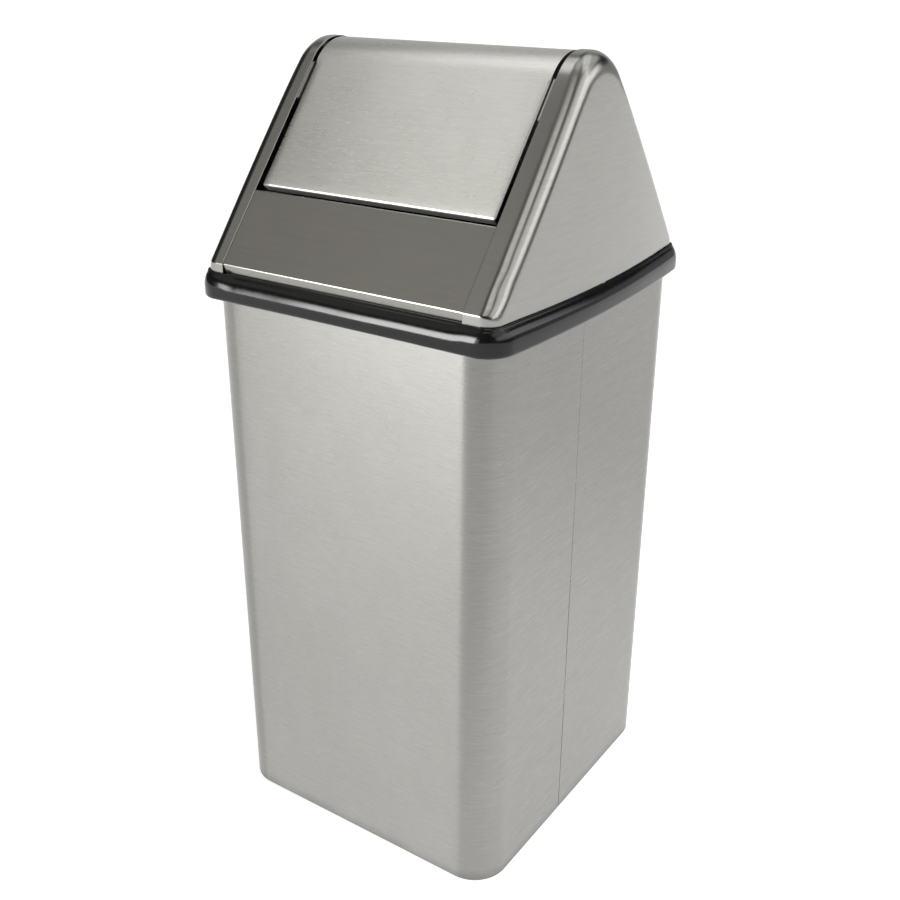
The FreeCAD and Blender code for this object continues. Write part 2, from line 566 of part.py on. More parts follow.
# ================================================================ write
os.makedirs("parts", exist_ok=True)
for name, shp in nodes.items():
    shp.exportStep(os.path.join("parts", name + ".step"))
    bb = shp.optimalBoundingBox(False)
    print("%-22s solids %2d vol %10.1f  x %.1f..%.1f y %.1f..%.1f z %.1f..%.1f valid %s" % (
        name, len(shp.Solids), shp.Volume, bb.XMin, bb.XMax, bb.YMin, bb.YMax, bb.ZMin, bb.ZMax,
        shp.isValid()))
print("ridge radius %.2f centre z %.2f apex %.2f slope %.3f deg" % (
    RIDGE_R, RIDGE_C, APEX_Z, math.degrees(SLOPE)))
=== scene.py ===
import math

import bmesh
import bpy
import numpy as np
from mathutils import Matrix, Vector


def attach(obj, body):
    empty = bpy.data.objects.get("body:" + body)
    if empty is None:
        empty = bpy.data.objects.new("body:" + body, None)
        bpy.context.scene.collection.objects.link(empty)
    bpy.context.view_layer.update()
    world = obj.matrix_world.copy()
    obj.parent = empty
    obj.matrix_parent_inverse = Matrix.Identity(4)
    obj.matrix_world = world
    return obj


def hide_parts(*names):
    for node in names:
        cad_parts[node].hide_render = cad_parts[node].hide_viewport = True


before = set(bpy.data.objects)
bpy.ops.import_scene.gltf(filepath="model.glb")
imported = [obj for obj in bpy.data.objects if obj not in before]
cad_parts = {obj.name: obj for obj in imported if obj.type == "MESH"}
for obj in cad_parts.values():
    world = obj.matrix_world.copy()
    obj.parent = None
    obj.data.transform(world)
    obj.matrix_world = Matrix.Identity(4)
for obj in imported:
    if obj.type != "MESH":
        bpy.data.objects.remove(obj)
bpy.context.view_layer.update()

MM = 0.001

# ------------------------------------------------------------------ sizes, mm
BODY_HX, BODY_HY, BODY_R, BODY_T = 160.0, 169.0, 36.0, 0.9
BODY_Z0, BODY_Z1, HEM_H = 1.5, 565.8, 14.0
SEAM_Y = -22.5
FOLD_Y, FOLD_Z = 173.7, 588.2
SLOPE = math.atan((647.94 - 588.2) / (173.7 - 124.86))
COS, SIN, TAN = math.cos(SLOPE), math.sin(SLOPE), math.tan(SLOPE)
RIDGE_Z = 773.2
APEX_Z = FOLD_Z + TAN * FOLD_Y
RIDGE_R = (APEX_Z - RIDGE_Z) / (1.0 / COS - 1.0)
RIDGE_C = RIDGE_Z - RIDGE_R
CAP_T, SHEET = 1.0, 1.0
HOOD_AMID, HOOD_RS, HOOD_LEAN, HOOD_Z0 = 166.0, 1700.0, 11.0 / 200.0, 570.0
HOOD_SKEW = 0.018                    # the hood's ends stand very slightly out of square
FLANGE_X, LAP_X = 130.4, 137.5
THROAT_HX, THROAT_HY, THROAT_R = 144.0, 153.0, 22.0
PANEL_S, PANEL_LIP = 77.1, 8.0
BAND_AMID, BAND_RS, BAND_HY, BAND_R = 174.5, 1700.0, 182.5, 28.0
CAP_RC = (13.5, 14.0, 15.5)          # edge rounding of the end caps along X at the foot, the slopes and the ridge
CAP_RD = (13.5, 14.5, 19.0)          # the same within the gable
BAND_Z0, BAND_Z1, BAND_SEAT = 552.0, 578.0, 566.0
DOOR_HX, DOOR_S, DOOR_RIM, DOOR_HEM_Y = 126.0, 82.2, 9.0, 40.0

# ------------------------------------------------------------------ camera
AZ, EL, ROLL = (math.radians(a) for a in (34.308, 23.852, 0.284))


def make_camera():
    back = Vector((math.sin(AZ) * math.cos(EL), -math.cos(AZ) * math.cos(EL), math.sin(EL)))
    right = Vector((math.cos(AZ), math.sin(AZ), 0.0))
    up = back.cross(right)
    r2 = right * math.cos(ROLL) + up * math.sin(ROLL)
    u2 = up * math.cos(ROLL) - right * math.sin(ROLL)
    m = Matrix((r2, u2, back)).transposed().to_4x4()
    m.translation = Vector((0.60994, -0.89272, 0.85259))
    data = bpy.data.cameras.new("camera")
    data.sensor_fit = "HORIZONTAL"
    data.sensor_width = 36.0
    data.lens = 45.63
    data.clip_start = 0.02
    data.clip_end = 500.0
    cam = bpy.data.objects.new("camera", data)
    cam.matrix_world = m
    bpy.context.scene.collection.objects.link(cam)
    bpy.context.scene.camera = cam


make_camera()


# ------------------------------------------------------------------ node helpers
class Tree:
    """Short names for the nodes that the materials are made of."""

    def __init__(self, tree):
        self.t = tree
        tree.nodes.clear()

    def add(self, kind, **props):
        n = self.t.nodes.new(kind)
        for k, v in props.items():
            setattr(n, k, v)
        return n

    def link(self, a, b):
        self.t.links.new(a, b)

    def put(self, socket, value):
        if isinstance(value, bpy.types.NodeSocket):
            self.link(value, socket)
        elif value is not None:
            socket.default_value = value

    def math(self, op, a, b=None, clamp=False):
        n = self.add("ShaderNodeMath", operation=op, use_clamp=clamp)
        self.put(n.inputs[0], a)
        self.put(n.inputs[1], b)
        return n.outputs[0]

    def vec(self, op, a, b=None, scale=None):
        n = self.add("ShaderNodeVectorMath", operation=op)
        self.put(n.inputs[0], a)
        if b is not None:
            self.put(n.inputs[1], b)
        if scale is not None:
            self.put(n.inputs["Scale"], scale)
        return n.outputs["Value"] if op in ("DOT_PRODUCT", "LENGTH", "DISTANCE") else n.outputs["Vector"]

    def ramp(self, fac, lo, hi, a=0.0, b=1.0, smooth=False):
        n = self.add("ShaderNodeMapRange", clamp=True)
        n.interpolation_type = "SMOOTHSTEP" if smooth else "LINEAR"
        self.put(n.inputs["Value"], fac)
        for k, v in (("From Min", lo), ("From Max", hi), ("To Min", a), ("To Max", b)):
            self.put(n.inputs[k], v)
        return n.outputs["Result"]

    def coords(self):
        return self.add("ShaderNodeTexCoord").outputs["Object"]

    def mapped(self, co, scale, rot=(0, 0, 0), loc=(0, 0, 0)):
        n = self.add("ShaderNodeMapping")
        self.put(n.inputs["Vector"], co)
        n.inputs["Scale"].default_value = scale
        n.inputs["Rotation"].default_value = rot
        n.inputs["Location"].default_value = loc
        return n.outputs["Vector"]

    def noise(self, co, scale, detail=2.0, rough=0.5, distort=0.0):
        n = self.add("ShaderNodeTexNoise")
        self.put(n.inputs["Vector"], co)
        n.inputs["Scale"].default_value = scale
        n.inputs["Detail"].default_value = detail
        n.inputs["Roughness"].default_value = rough
        n.inputs["Distortion"].default_value = distort
        return n.outputs["Fac"]

    def voronoi(self, co, scale, feature="F1", out="Distance", rand=1.0):
        n = self.add("ShaderNodeTexVoronoi", feature=feature)
        self.put(n.inputs["Vector"], co)
        n.inputs["Scale"].default_value = scale
        n.inputs["Randomness"].default_value = rand
        return n.outputs[out]

    def colour(self, fac, stops, ease="LINEAR"):
        n = self.add("ShaderNodeValToRGB")
        self.put(n.inputs["Fac"], fac)
        cr = n.color_ramp
        cr.interpolation = ease
        while len(cr.elements) < len(stops):
            cr.elements.new(0.5)
        for e, (p, c) in zip(cr.elements, stops):
            e.position = p
            e.color = (c[0], c[1], c[2], 1.0)
        return n.outputs["Color"]

    def tint(self, a, b, mode="MULTIPLY", fac=1.0):
        n = self.add("ShaderNodeMix", data_type="RGBA", blend_type=mode)
        self.put(n.inputs[0], fac)
        self.put(n.inputs[6], a)
        self.put(n.inputs[7], b)
        return n.outputs[2]

    def bump(self, height, strength, distance, normal=None):
        n = self.add("ShaderNodeBump")
        n.inputs["Strength"].default_value = strength
        n.inputs["Distance"].default_value = distance
        self.put(n.inputs["Height"], height)
        if normal is not None:
            self.put(n.inputs["Normal"], normal)
        return n.outputs["Normal"]

    def shader(self, **sockets):
        p = self.add("ShaderNodeBsdfPrincipled")
        for k, v in sockets.items():
            self.put(p.inputs[k.replace("_", " ")], v)
        o = self.add("ShaderNodeOutputMaterial")
        self.link(p.outputs["BSDF"], o.inputs["Surface"])
        return p


def new_material(name):
    m = bpy.data.materials.new(name)
    m.use_nodes = True
    return m, Tree(m.node_tree)


# ------------------------------------------------------------------ materials
def brushed(name, colour, rough, aniso, grain=(9.0, 9.0, 1500.0), axis=(0.0, 0.0, 1.0),
            depth=0.10, rough_var=0.06, bump=0.05, blotch=0.05, contact_shade_at_foot=False):
    """Brushed stainless sheet. grain is the scale of the brush lines in each direction, per metre;
    axis is any direction across the lines, used to turn the stretched gloss."""
    m, t = new_material(name)
    co = t.coords()
    fine = t.noise(t.mapped(co, grain), 1.0, 3.0, 0.62)
    mid = t.noise(t.mapped(co, tuple(g * 0.31 for g in grain), loc=(3.1, 1.7, 0.4)), 1.0, 2.0, 0.55)
    cloud = t.noise(co, 5.5, 3.0, 0.55, 0.35)
    smear = t.noise(t.mapped(co, (26.0, 26.0, 11.0), rot=(0.3, 0.2, 0.5)), 1.0, 4.0, 0.6, 0.8)
    lines = t.math("ADD", t.math("MULTIPLY", fine, 0.65), t.math("MULTIPLY", mid, 0.35))
    dark = tuple(c * (1.0 - depth) for c in colour)
    light = tuple(min(1.0, c * (1.0 + depth)) for c in colour)
    base = t.colour(lines, [(0.30, dark), (0.50, colour), (0.70, light)])
    shade = t.colour(cloud, [(0.32, (1.0 - blotch, 1.0 - blotch, 1.0 - blotch * 1.25)), (0.62, (1.0, 1.0, 1.0))])
    base = t.tint(base, shade)
    if contact_shade_at_foot:
        # painted contact shade: base colour darkened to 72% within about 4 to 22 mm of the floor, with a ragged
        # upper edge
        z = t.add("ShaderNodeSeparateXYZ")
        t.link(co, z.inputs[0])
        low = t.ramp(t.math("ADD", z.outputs["Z"], t.math("MULTIPLY", smear, 0.012)), 0.004, 0.022, 0.72, 1.0, True)
        base = t.tint(base, t.colour(low, [(0.0, (0, 0, 0)), (1.0, (1, 1, 1))]))
    r = t.ramp(lines, 0.28, 0.72, rough + rough_var, rough - rough_var)
    r = t.math("ADD", r, t.ramp(smear, 0.42, 0.75, 0.0, 0.015))
    nrm = t.bump(lines, bump, 0.00012)
    grain_dir = t.vec("NORMALIZE", t.vec("CROSS_PRODUCT", t.add("ShaderNodeNewGeometry").outputs["Normal"], axis))
    t.shader(Base_Color=base, Metallic=1.0, Roughness=r, Anisotropic=aniso, Anisotropic_Rotation=0.25,
             Tangent=grain_dir, Normal=nrm)
    return m


def plain_metal(name, colour, rough, scale=180.0, depth=0.12, bump=0.08, spot=None):
    """Bare small steel parts: fine mottled plating with rubbed patches."""
    m, t = new_material(name)
    co = t.coords()
    fine = t.noise(co, scale * 6.0, 4.0, 0.6)
    wide = t.noise(co, scale, 3.0, 0.55, 0.4)
    base = t.colour(wide, [(0.28, tuple(c * (1 - depth) for c in colour)), (0.52, colour),
                           (0.75, tuple(min(1, c * (1 + depth)) for c in colour))])
    if spot is not None:
        base = t.tint(base, t.colour(t.noise(co, scale * 2.2, 3.0, 0.6), [(0.45, (1, 1, 1)), (0.72, spot)]))
    r = t.ramp(t.math("ADD", t.math("MULTIPLY", fine, 0.4), t.math("MULTIPLY", wide, 0.6)), 0.3, 0.7,
               rough + 0.09, rough - 0.07)
    t.shader(Base_Color=base, Metallic=1.0, Roughness=r, Normal=t.bump(fine, bump, 0.0002))
    return m


def galvanised(name):
    """Hot-dipped sheet: flat crystal spangles, each with its own tone and gloss."""
    m, t = new_material(name)
    co = t.coords()
    wob = t.noise(co, 30.0, 3.0, 0.6)
    warped = t.vec("ADD", t.mapped(co, (1.0, 1.0, 0.8)), t.vec("SCALE", (1.0, 0.7, -0.8), scale=t.math("MULTIPLY", wob, 0.006)))
    cell = t.voronoi(warped, 95.0, "F1", "Color")
    s = t.add("ShaderNodeSeparateColor")
    t.link(cell, s.inputs[0])
    edge = t.voronoi(warped, 95.0, "DISTANCE_TO_EDGE", "Distance")
    feather = t.noise(t.mapped(co, (300.0, 300.0, 900.0), rot=(0.5, 0.7, 0.2)), 1.0, 3.0, 0.6)
    tone = t.math("ADD", t.math("MULTIPLY", s.outputs[0], 0.55),
                  t.math("ADD", t.math("MULTIPLY", feather, 0.25), t.math("MULTIPLY", wob, 0.2)))
    base = t.colour(tone, [(0.18, (0.30, 0.315, 0.33)), (0.5, (0.43, 0.445, 0.46)), (0.82, (0.56, 0.57, 0.58))])
    base = t.tint(base, t.colour(edge, [(0.0, (0.82, 0.82, 0.83)), (0.08, (1, 1, 1))]))
    r = t.ramp(t.math("ADD", t.math("MULTIPLY", s.outputs[1], 0.6), t.math("MULTIPLY", feather, 0.4)),
               0.1, 0.9, 0.36, 0.58)
    t.shader(Base_Color=base, Metallic=1.0, Roughness=r, Normal=t.bump(edge, 0.10, 0.0003))
    return m


def glossy_black(name):
    """Extruded black vinyl: deep gloss, faint draw lines, dust and fine rub marks."""
    m, t = new_material(name)
    co = t.coords()
    rub = t.noise(t.mapped(co, (220.0, 220.0, 40.0), rot=(0.4, 0.1, 0.8)), 1.0, 4.0, 0.7, 0.6)
    orange = t.noise(co, 420.0, 2.0, 0.5)
    swell = t.noise(co, 38.0, 2.0, 0.5)
    draw = t.noise(t.mapped(co, (5.0, 5.0, 520.0)), 1.0, 2.0, 0.5)
    base = t.colour(rub, [(0.35, (0.0045, 0.0045, 0.0045)), (0.62, (0.0075, 0.0075, 0.0075)), (0.82, (0.018, 0.018, 0.0175))])
    r = t.ramp(t.math("ADD", t.math("MULTIPLY", rub, 0.7), t.math("MULTIPLY", draw, 0.3)), 0.35, 0.75, 0.10, 0.20)
    h = t.math("ADD", t.math("MULTIPLY", orange, 0.12), t.math("ADD", swell, t.math("MULTIPLY", draw, 0.10)))
    t.shader(Base_Color=base, Roughness=r, Specular_IOR_Level=0.36, Coat_Weight=0.04, Coat_Roughness=0.07,
             Normal=t.bump(h, 0.10, 0.0006))
    return m


def rubber(name):
    m, t = new_material(name)
    co = t.coords()
    grit = t.noise(co, 2600.0, 3.0, 0.6)
    worn = t.noise(co, 160.0, 3.0, 0.55, 0.3)
    base = t.colour(worn, [(0.3, (0.012, 0.012, 0.013)), (0.6, (0.022, 0.022, 0.023)), (0.8, (0.045, 0.044, 0.042))])
    t.shader(Base_Color=base, Roughness=t.ramp(worn, 0.3, 0.75, 0.62, 0.82), Specular_IOR_Level=0.4,
             Normal=t.bump(grit, 0.25, 0.0002))
    return m


def nylon(name):
    m, t = new_material(name)
    co = t.coords()
    flow = t.noise(co, 260.0, 3.0, 0.55, 0.5)
    base = t.colour(flow, [(0.3, (0.60, 0.585, 0.53)), (0.7, (0.70, 0.69, 0.64))])
    t.shader(Base_Color=base, Roughness=t.ramp(flow, 0.3, 0.7, 0.36, 0.48), Subsurface_Weight=0.15,
             Subsurface_Scale=0.002, Normal=t.bump(t.noise(co, 1500.0, 2.0), 0.08, 0.0001))
    return m


MATS = {
    # the body's sheet carries painted contact shade just above the floor
    "stainless_body": brushed("stainless_body", (0.286, 0.282, 0.270), 0.28, 0.84, grain=(90.0, 90.0, 1300.0),
                              depth=0.10, rough_var=0.02, bump=0.008, blotch=0.02, contact_shade_at_foot=True),
    "stainless_hood": brushed("stainless_hood", (0.350, 0.345, 0.328), 0.20, 0.50, grain=(90.0, 90.0, 1300.0),
                              depth=0.06, rough_var=0.02, bump=0.004, blotch=0.03),
    "stainless_panel": brushed("stainless_panel", (0.345, 0.337, 0.314), 0.22, 0.40, grain=(40.0, 1100.0, 1100.0),
                               axis=(0.0, 3.0, 1.0), depth=0.06, rough_var=0.02, bump=0.002, blotch=0.04),
    "stainless_door": brushed("stainless_door", (0.550, 0.541, 0.515), 0.28, 0.86, grain=(90.0, 1200.0, 1200.0),
                              axis=(0.0, 3.0, 1.0), depth=0.09, rough_var=0.02, bump=0.003, blotch=0.02),
    "stainless_inner": brushed("stainless_inner", (0.40, 0.395, 0.38), 0.42, 0.35, grain=(40.0, 700.0, 700.0), axis=(0.2, 3.0, 1.0)),
    "weld": plain_metal("weld", (0.36, 0.34, 0.31), 0.38, 700.0, 0.25, 0.35, spot=(0.55, 0.47, 0.42)),
    "black_band": glossy_black("black_band"),
    "foot_rubber": rubber("foot_rubber"),
    "galvanised": galvanised("galvanised"),
    "handle_wire": plain_metal("handle_wire", (0.50, 0.51, 0.52), 0.32, 260.0, 0.12, 0.12),
    "zinc_steel": plain_metal("zinc_steel", (0.55, 0.545, 0.50), 0.30, 420.0, 0.10, 0.08),
    "nylon": nylon("nylon"),
}


# ------------------------------------------------------------------ mesh helpers
def unit(a):
    n = np.linalg.norm(a, axis=-1, keepdims=True)
    return a / np.maximum(n, 1e-12)


def steps(a, b, pitch, edge=0.0):
    """Values from a to b, about pitch apart, with one more close to each end."""
    n = max(2, int(round(abs(b - a) / pitch)) + 1)
    v = list(np.linspace(a, b, n))
    if edge > 0.0:
        s = 1.0 if b > a else -1.0
        v = [v[0], v[0] + s * edge] + v[1:-1] + [v[-1] - s * edge, v[-1]]
    return v


def sheet(P, t, out_hint, round_end=(True, True), k=4):
    """A closed sheet of thickness t under the surface P[u, v], with rounded cut edges.
    out_hint is a point inside: the surface's outer side faces away from it at the middle."""
    nu, nv = P.shape[:2]
    du = np.gradient(P, axis=0)
    dv = np.gradient(P, axis=1)
    N = unit(np.cross(unit(du), unit(dv)))
    mid = (nu // 2, nv // 3)
    if np.dot(N[mid], P[mid] - np.asarray(out_hint, float)) < 0:
        N = -N
    C = P - N * (t / 2)
    loop = [P[:, j] - C[:, j] for j in range(nv)]
    cen = [C[:, j] for j in range(nv)]

    def rim(j, j2):
        T = unit(P[:, j] - P[:, j2])
        return [(np.cos(a) * N[:, j] + np.sin(a) * T) * (t / 2)
                for a in (math.pi * (i + 1) / (k + 1) for i in range(k))]

    ke = k if round_end[1] else 0
    ks = k if round_end[0] else 0
    if ke:
        loop += rim(nv - 1, nv - 2)
        cen += [C[:, nv - 1]] * k
    loop += [-(P[:, j] - C[:, j]) for j in range(nv - 1, -1, -1)]
    cen += [C[:, j] for j in range(nv - 1, -1, -1)]
    if ks:
        loop += rim(0, 1)[::-1]
        cen += [C[:, 0]] * k
    L = len(loop)
    D = np.stack(loop, 1)
    C2 = np.stack(cen, 1)
    rows = []
    for a in (80.0, 55.0, 28.0):
        a = math.radians(a)
        T = unit(C2[0] - C2[1])
        rows.append(C2[0] + D[0] * math.cos(a) + T * math.sin(a) * t / 2)
    for i in range(nu):
        rows.append(C2[i] + D[i])
    for a in (28.0, 55.0, 80.0):
        a = math.radians(a)
        T = unit(C2[-1] - C2[-2])
        rows.append(C2[-1] + D[-1] * math.cos(a) + T * math.sin(a) * t / 2)
    R = len(rows)
    verts = np.concatenate(rows)
    faces = []
    skip = set()
    if not ke:
        skip.add(nv - 1)
    if not ks:
        skip.add(L - 1)
    for r in range(R - 1):
        for c in range(L):
            if c in skip:
                continue
            d = (c + 1) % L
            faces.append((r * L + c, r * L + d, (r + 1) * L + d, (r + 1) * L + c))
    inner = lambda j: nv + ke + (nv - 1 - j)
    for r in (0, R - 1):
        o = r * L
        for j in range(nv - 1):
            faces.append((o + j, o + j + 1, o + inner(j + 1), o + inner(j)))
        if ke:
            faces.append((o + nv - 1, o + nv, o + nv + 3, o + inner(nv - 1)))
            faces.append((o + nv, o + nv + 1, o + nv + 2, o + nv + 3))
        if ks:
            b = 2 * nv + ke
            faces.append((o, o + b + 3, o + b, o + inner(0)))
            faces.append((o + b + 3, o + b + 2, o + b + 1, o + b))
    return verts, faces


def ring_mesh(rows):
    """A closed tube of rows[section, around, xyz], both ways round."""
    R = np.asarray(rows)
    m, n = R.shape[:2]
    faces = []
    for i in range(m):
        for j in range(n):
            a, b = (i + 1) % m, (j + 1) % n
            faces.append((i * n + j, i * n + b, a * n + b, a * n + j))
    return R.reshape(-1, 3), faces


def build(name, verts, faces, body, slot, nodes, sharp=None):
    me = bpy.data.meshes.new(name)
    me.from_pydata([tuple(float(c) * MM for c in v) for v in verts], [], faces)
    bm = bmesh.new()
    bm.from_mesh(me)
    bmesh.ops.remove_doubles(bm, verts=bm.verts, dist=1.5e-6)
    bmesh.ops.dissolve_degenerate(bm, edges=bm.edges, dist=1e-7)
    bmesh.ops.recalc_face_normals(bm, faces=bm.faces)
    bm.to_mesh(me)
    bm.free()
    return place(name, me, body, slot, nodes, sharp)


def place(name, me, body, slot, nodes, sharp=None):
    for p in me.polygons:
        p.use_smooth = True
    if sharp is not None:
        me.set_sharp_from_angle(angle=math.radians(sharp))
    me.materials.clear()
    me.materials.append(MATS[slot])
    ob = bpy.data.objects.new(name, me)
    bpy.context.scene.collection.objects.link(ob)
    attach(ob, body)
    if nodes:
        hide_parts(*nodes)
    return ob


def smooth01(x):
    x = np.clip(x, 0.0, 1.0)
    return x * x * (3 - 2 * x)


# ------------------------------------------------------------------ body shell
def corner_pts(cx, cy, r, a0, a1, n):
    out = []
    for i in range(1, n):
        a = math.radians(a0 + (a1 - a0) * i / n)
        out.append((cx + r * math.cos(a), cy + r * math.sin(a), math.cos(a), math.sin(a)))
    return out


def body_shell():
    hx, hy, r = BODY_HX, BODY_HY, BODY_R
    cx, cy = hx - r, hy - r
    g = 0.35 + BODY_T / 2
    pts = []
    for y in steps(SEAM_Y + g, cy, 9.0, 0.6)[:-2] + [cy]:
        pts.append((hx, y, 1.0, 0.0))
    pts += corner_pts(cx, cy, r, 0, 90, 18)
    for x in steps(cx, -cx, 9.0):
        pts.append((x, hy, 0.0, 1.0))
    pts += corner_pts(-cx, cy, r, 90, 180, 18)
    for y in steps(cy, -cy, 9.0):
        pts.append((-hx, y, -1.0, 0.0))
    pts += corner_pts(-cx, -cy, r, 180, 270, 18)
    for x in steps(-cx, cx, 9.0):
        pts.append((x, -hy, 0.0, -1.0))
    pts += corner_pts(cx, -cy, r, 270, 360, 18)
    for y in [-cy] + steps(-cy, SEAM_Y - g, 9.0, 0.6)[2:]:
        pts.append((hx, y, 1.0, 0.0))
    pts = np.array(pts)
    prof = [(0.0, z) for z in [BODY_Z0 + 0.45, BODY_Z0 + 0.9, 5.0, 9.0]]
    prof += [(0.0, z) for z in steps(14.0, 545.0, 12.0)] + [(0.0, 553.0), (0.0, 560.0), (0.0, 563.9)]
    zc = BODY_Z1 - 0.95
    for i in range(0, 9):
        a = math.pi * i / 8
        prof.append((-0.95 + 0.95 * math.cos(a), zc + 0.95 * math.sin(a)))
    prof += [(-1.9, zc - 1.0), (-1.9, 559.0), (-1.9, BODY_Z1 - HEM_H + 0.9), (-1.9, BODY_Z1 - HEM_H + 0.45)]
    prof = np.array(prof)
    X, Z = np.meshgrid(pts[:, 0], prof[:, 1], indexing="ij")
    Y = np.repeat(pts[:, 1][:, None], len(prof), 1)
    NX = np.repeat(pts[:, 2][:, None], len(prof), 1)
    NY = np.repeat(pts[:, 3][:, None], len(prof), 1)
    OFF = np.repeat(prof[:, 0][None, :], len(pts), 0)
    # the flats of a wrapped thin sheet swell and dip a little between the corners
    flat = np.where(np.abs(NX) > 0.999, smooth01((cy - np.abs(Y)) / 60.0), 0.0)
    flat += np.where(np.abs(NY) > 0.999, smooth01((cx - np.abs(X)) / 60.0), 0.0)
    tall = smooth01((Z - 22.0) / 80.0) * smooth01((548.0 - Z) / 60.0)
    along = np.where(np.abs(NX) > 0.999, Y, X)
    wave = (0.5 + 0.5 * np.sin(along / 46.0 + Z / 150.0 + 0.6)) * 0.09
    wave += (0.5 + 0.5 * np.sin(Z / 71.0 - along / 90.0 + 1.9)) * 0.08
    wave += (0.5 + 0.5 * np.sin(Z / 27.0 + along / 140.0)) * 0.03
    OFF = OFF + wave * flat * tall
    # the butt seam closes towards the top and opens below the upper weld
    half = 0.10 + 0.27 * smooth01((500.0 - Z) / 240.0) + 0.06 * np.sin(Z / 33.0)
    half = half * (1.0 - 0.55 * np.exp(-((Z - 288.0) / 9.0) ** 2) - 0.5 * np.exp(-((Z - 152.0) / 9.0) ** 2))
    near = np.exp(-np.abs(Y - SEAM_Y) / 9.0) * (NX > 0.999)
    sgn = np.zeros(len(pts))
    sgn[: len(pts) // 4] = 1.0
    sgn[-len(pts) // 4:] = -1.0
    Y = Y + (half - 0.35) * near * sgn[:, None]
    # the two raw edges stand very slightly unequal
    OFF = OFF + 0.10 * near * (sgn[:, None] > 0) * smooth01((300.0 - Z) / 120.0) * tall
    P = np.stack([X + NX * OFF, Y + NY * OFF, Z], -1)
    v, f = sheet(P, BODY_T, (0, 0, 300.0))
    build("body_sheet", v, f, "bin", "stainless_body", ["body_shell"])


body_shell()


# ------------------------------------------------------------------ hood: end caps
def arch(o, rb, zb):
    """One outline of the gable, moved out by o: up the front skirt, over the ridge, down the rear.
    Always the same number of points."""
    hy = FOLD_Y + o
    zf = FOLD_Z + o * (1.0 / COS - TAN)
    turn = math.pi / 2 - SLOPE
    T = rb * math.tan(turn / 2)
    rho = RIDGE_R + o
    pts = [(-hy, z) for z in np.linspace(zb, zf - T, 6)]
    for i in range(1, 8):
        a = math.pi - turn * i / 8
        pts.append((-hy + rb + rb * math.cos(a), zf - T + rb * math.sin(a)))
    a = np.array((-hy + T * COS, zf + T * SIN))
    b = np.array((-rho * SIN, RIDGE_C + rho * COS))
    for i in np.linspace(0.0, 1.0, 30):
        pts.append(tuple(a + (b - a) * i))
    for i in range(1, 13):
        q = SLOPE * (1.0 - i / 12)
        pts.append((-rho * math.sin(q), RIDGE_C + rho * math.cos(q)))
    half = pts
    return np.array(half + [(-y, z) for (y, z) in half[-2::-1]])


def x_side(y, z):
    return HOOD_AMID - (HOOD_RS - np.sqrt(HOOD_RS ** 2 - y ** 2)) - HOOD_LEAN * (z - HOOD_Z0) - HOOD_SKEW * y


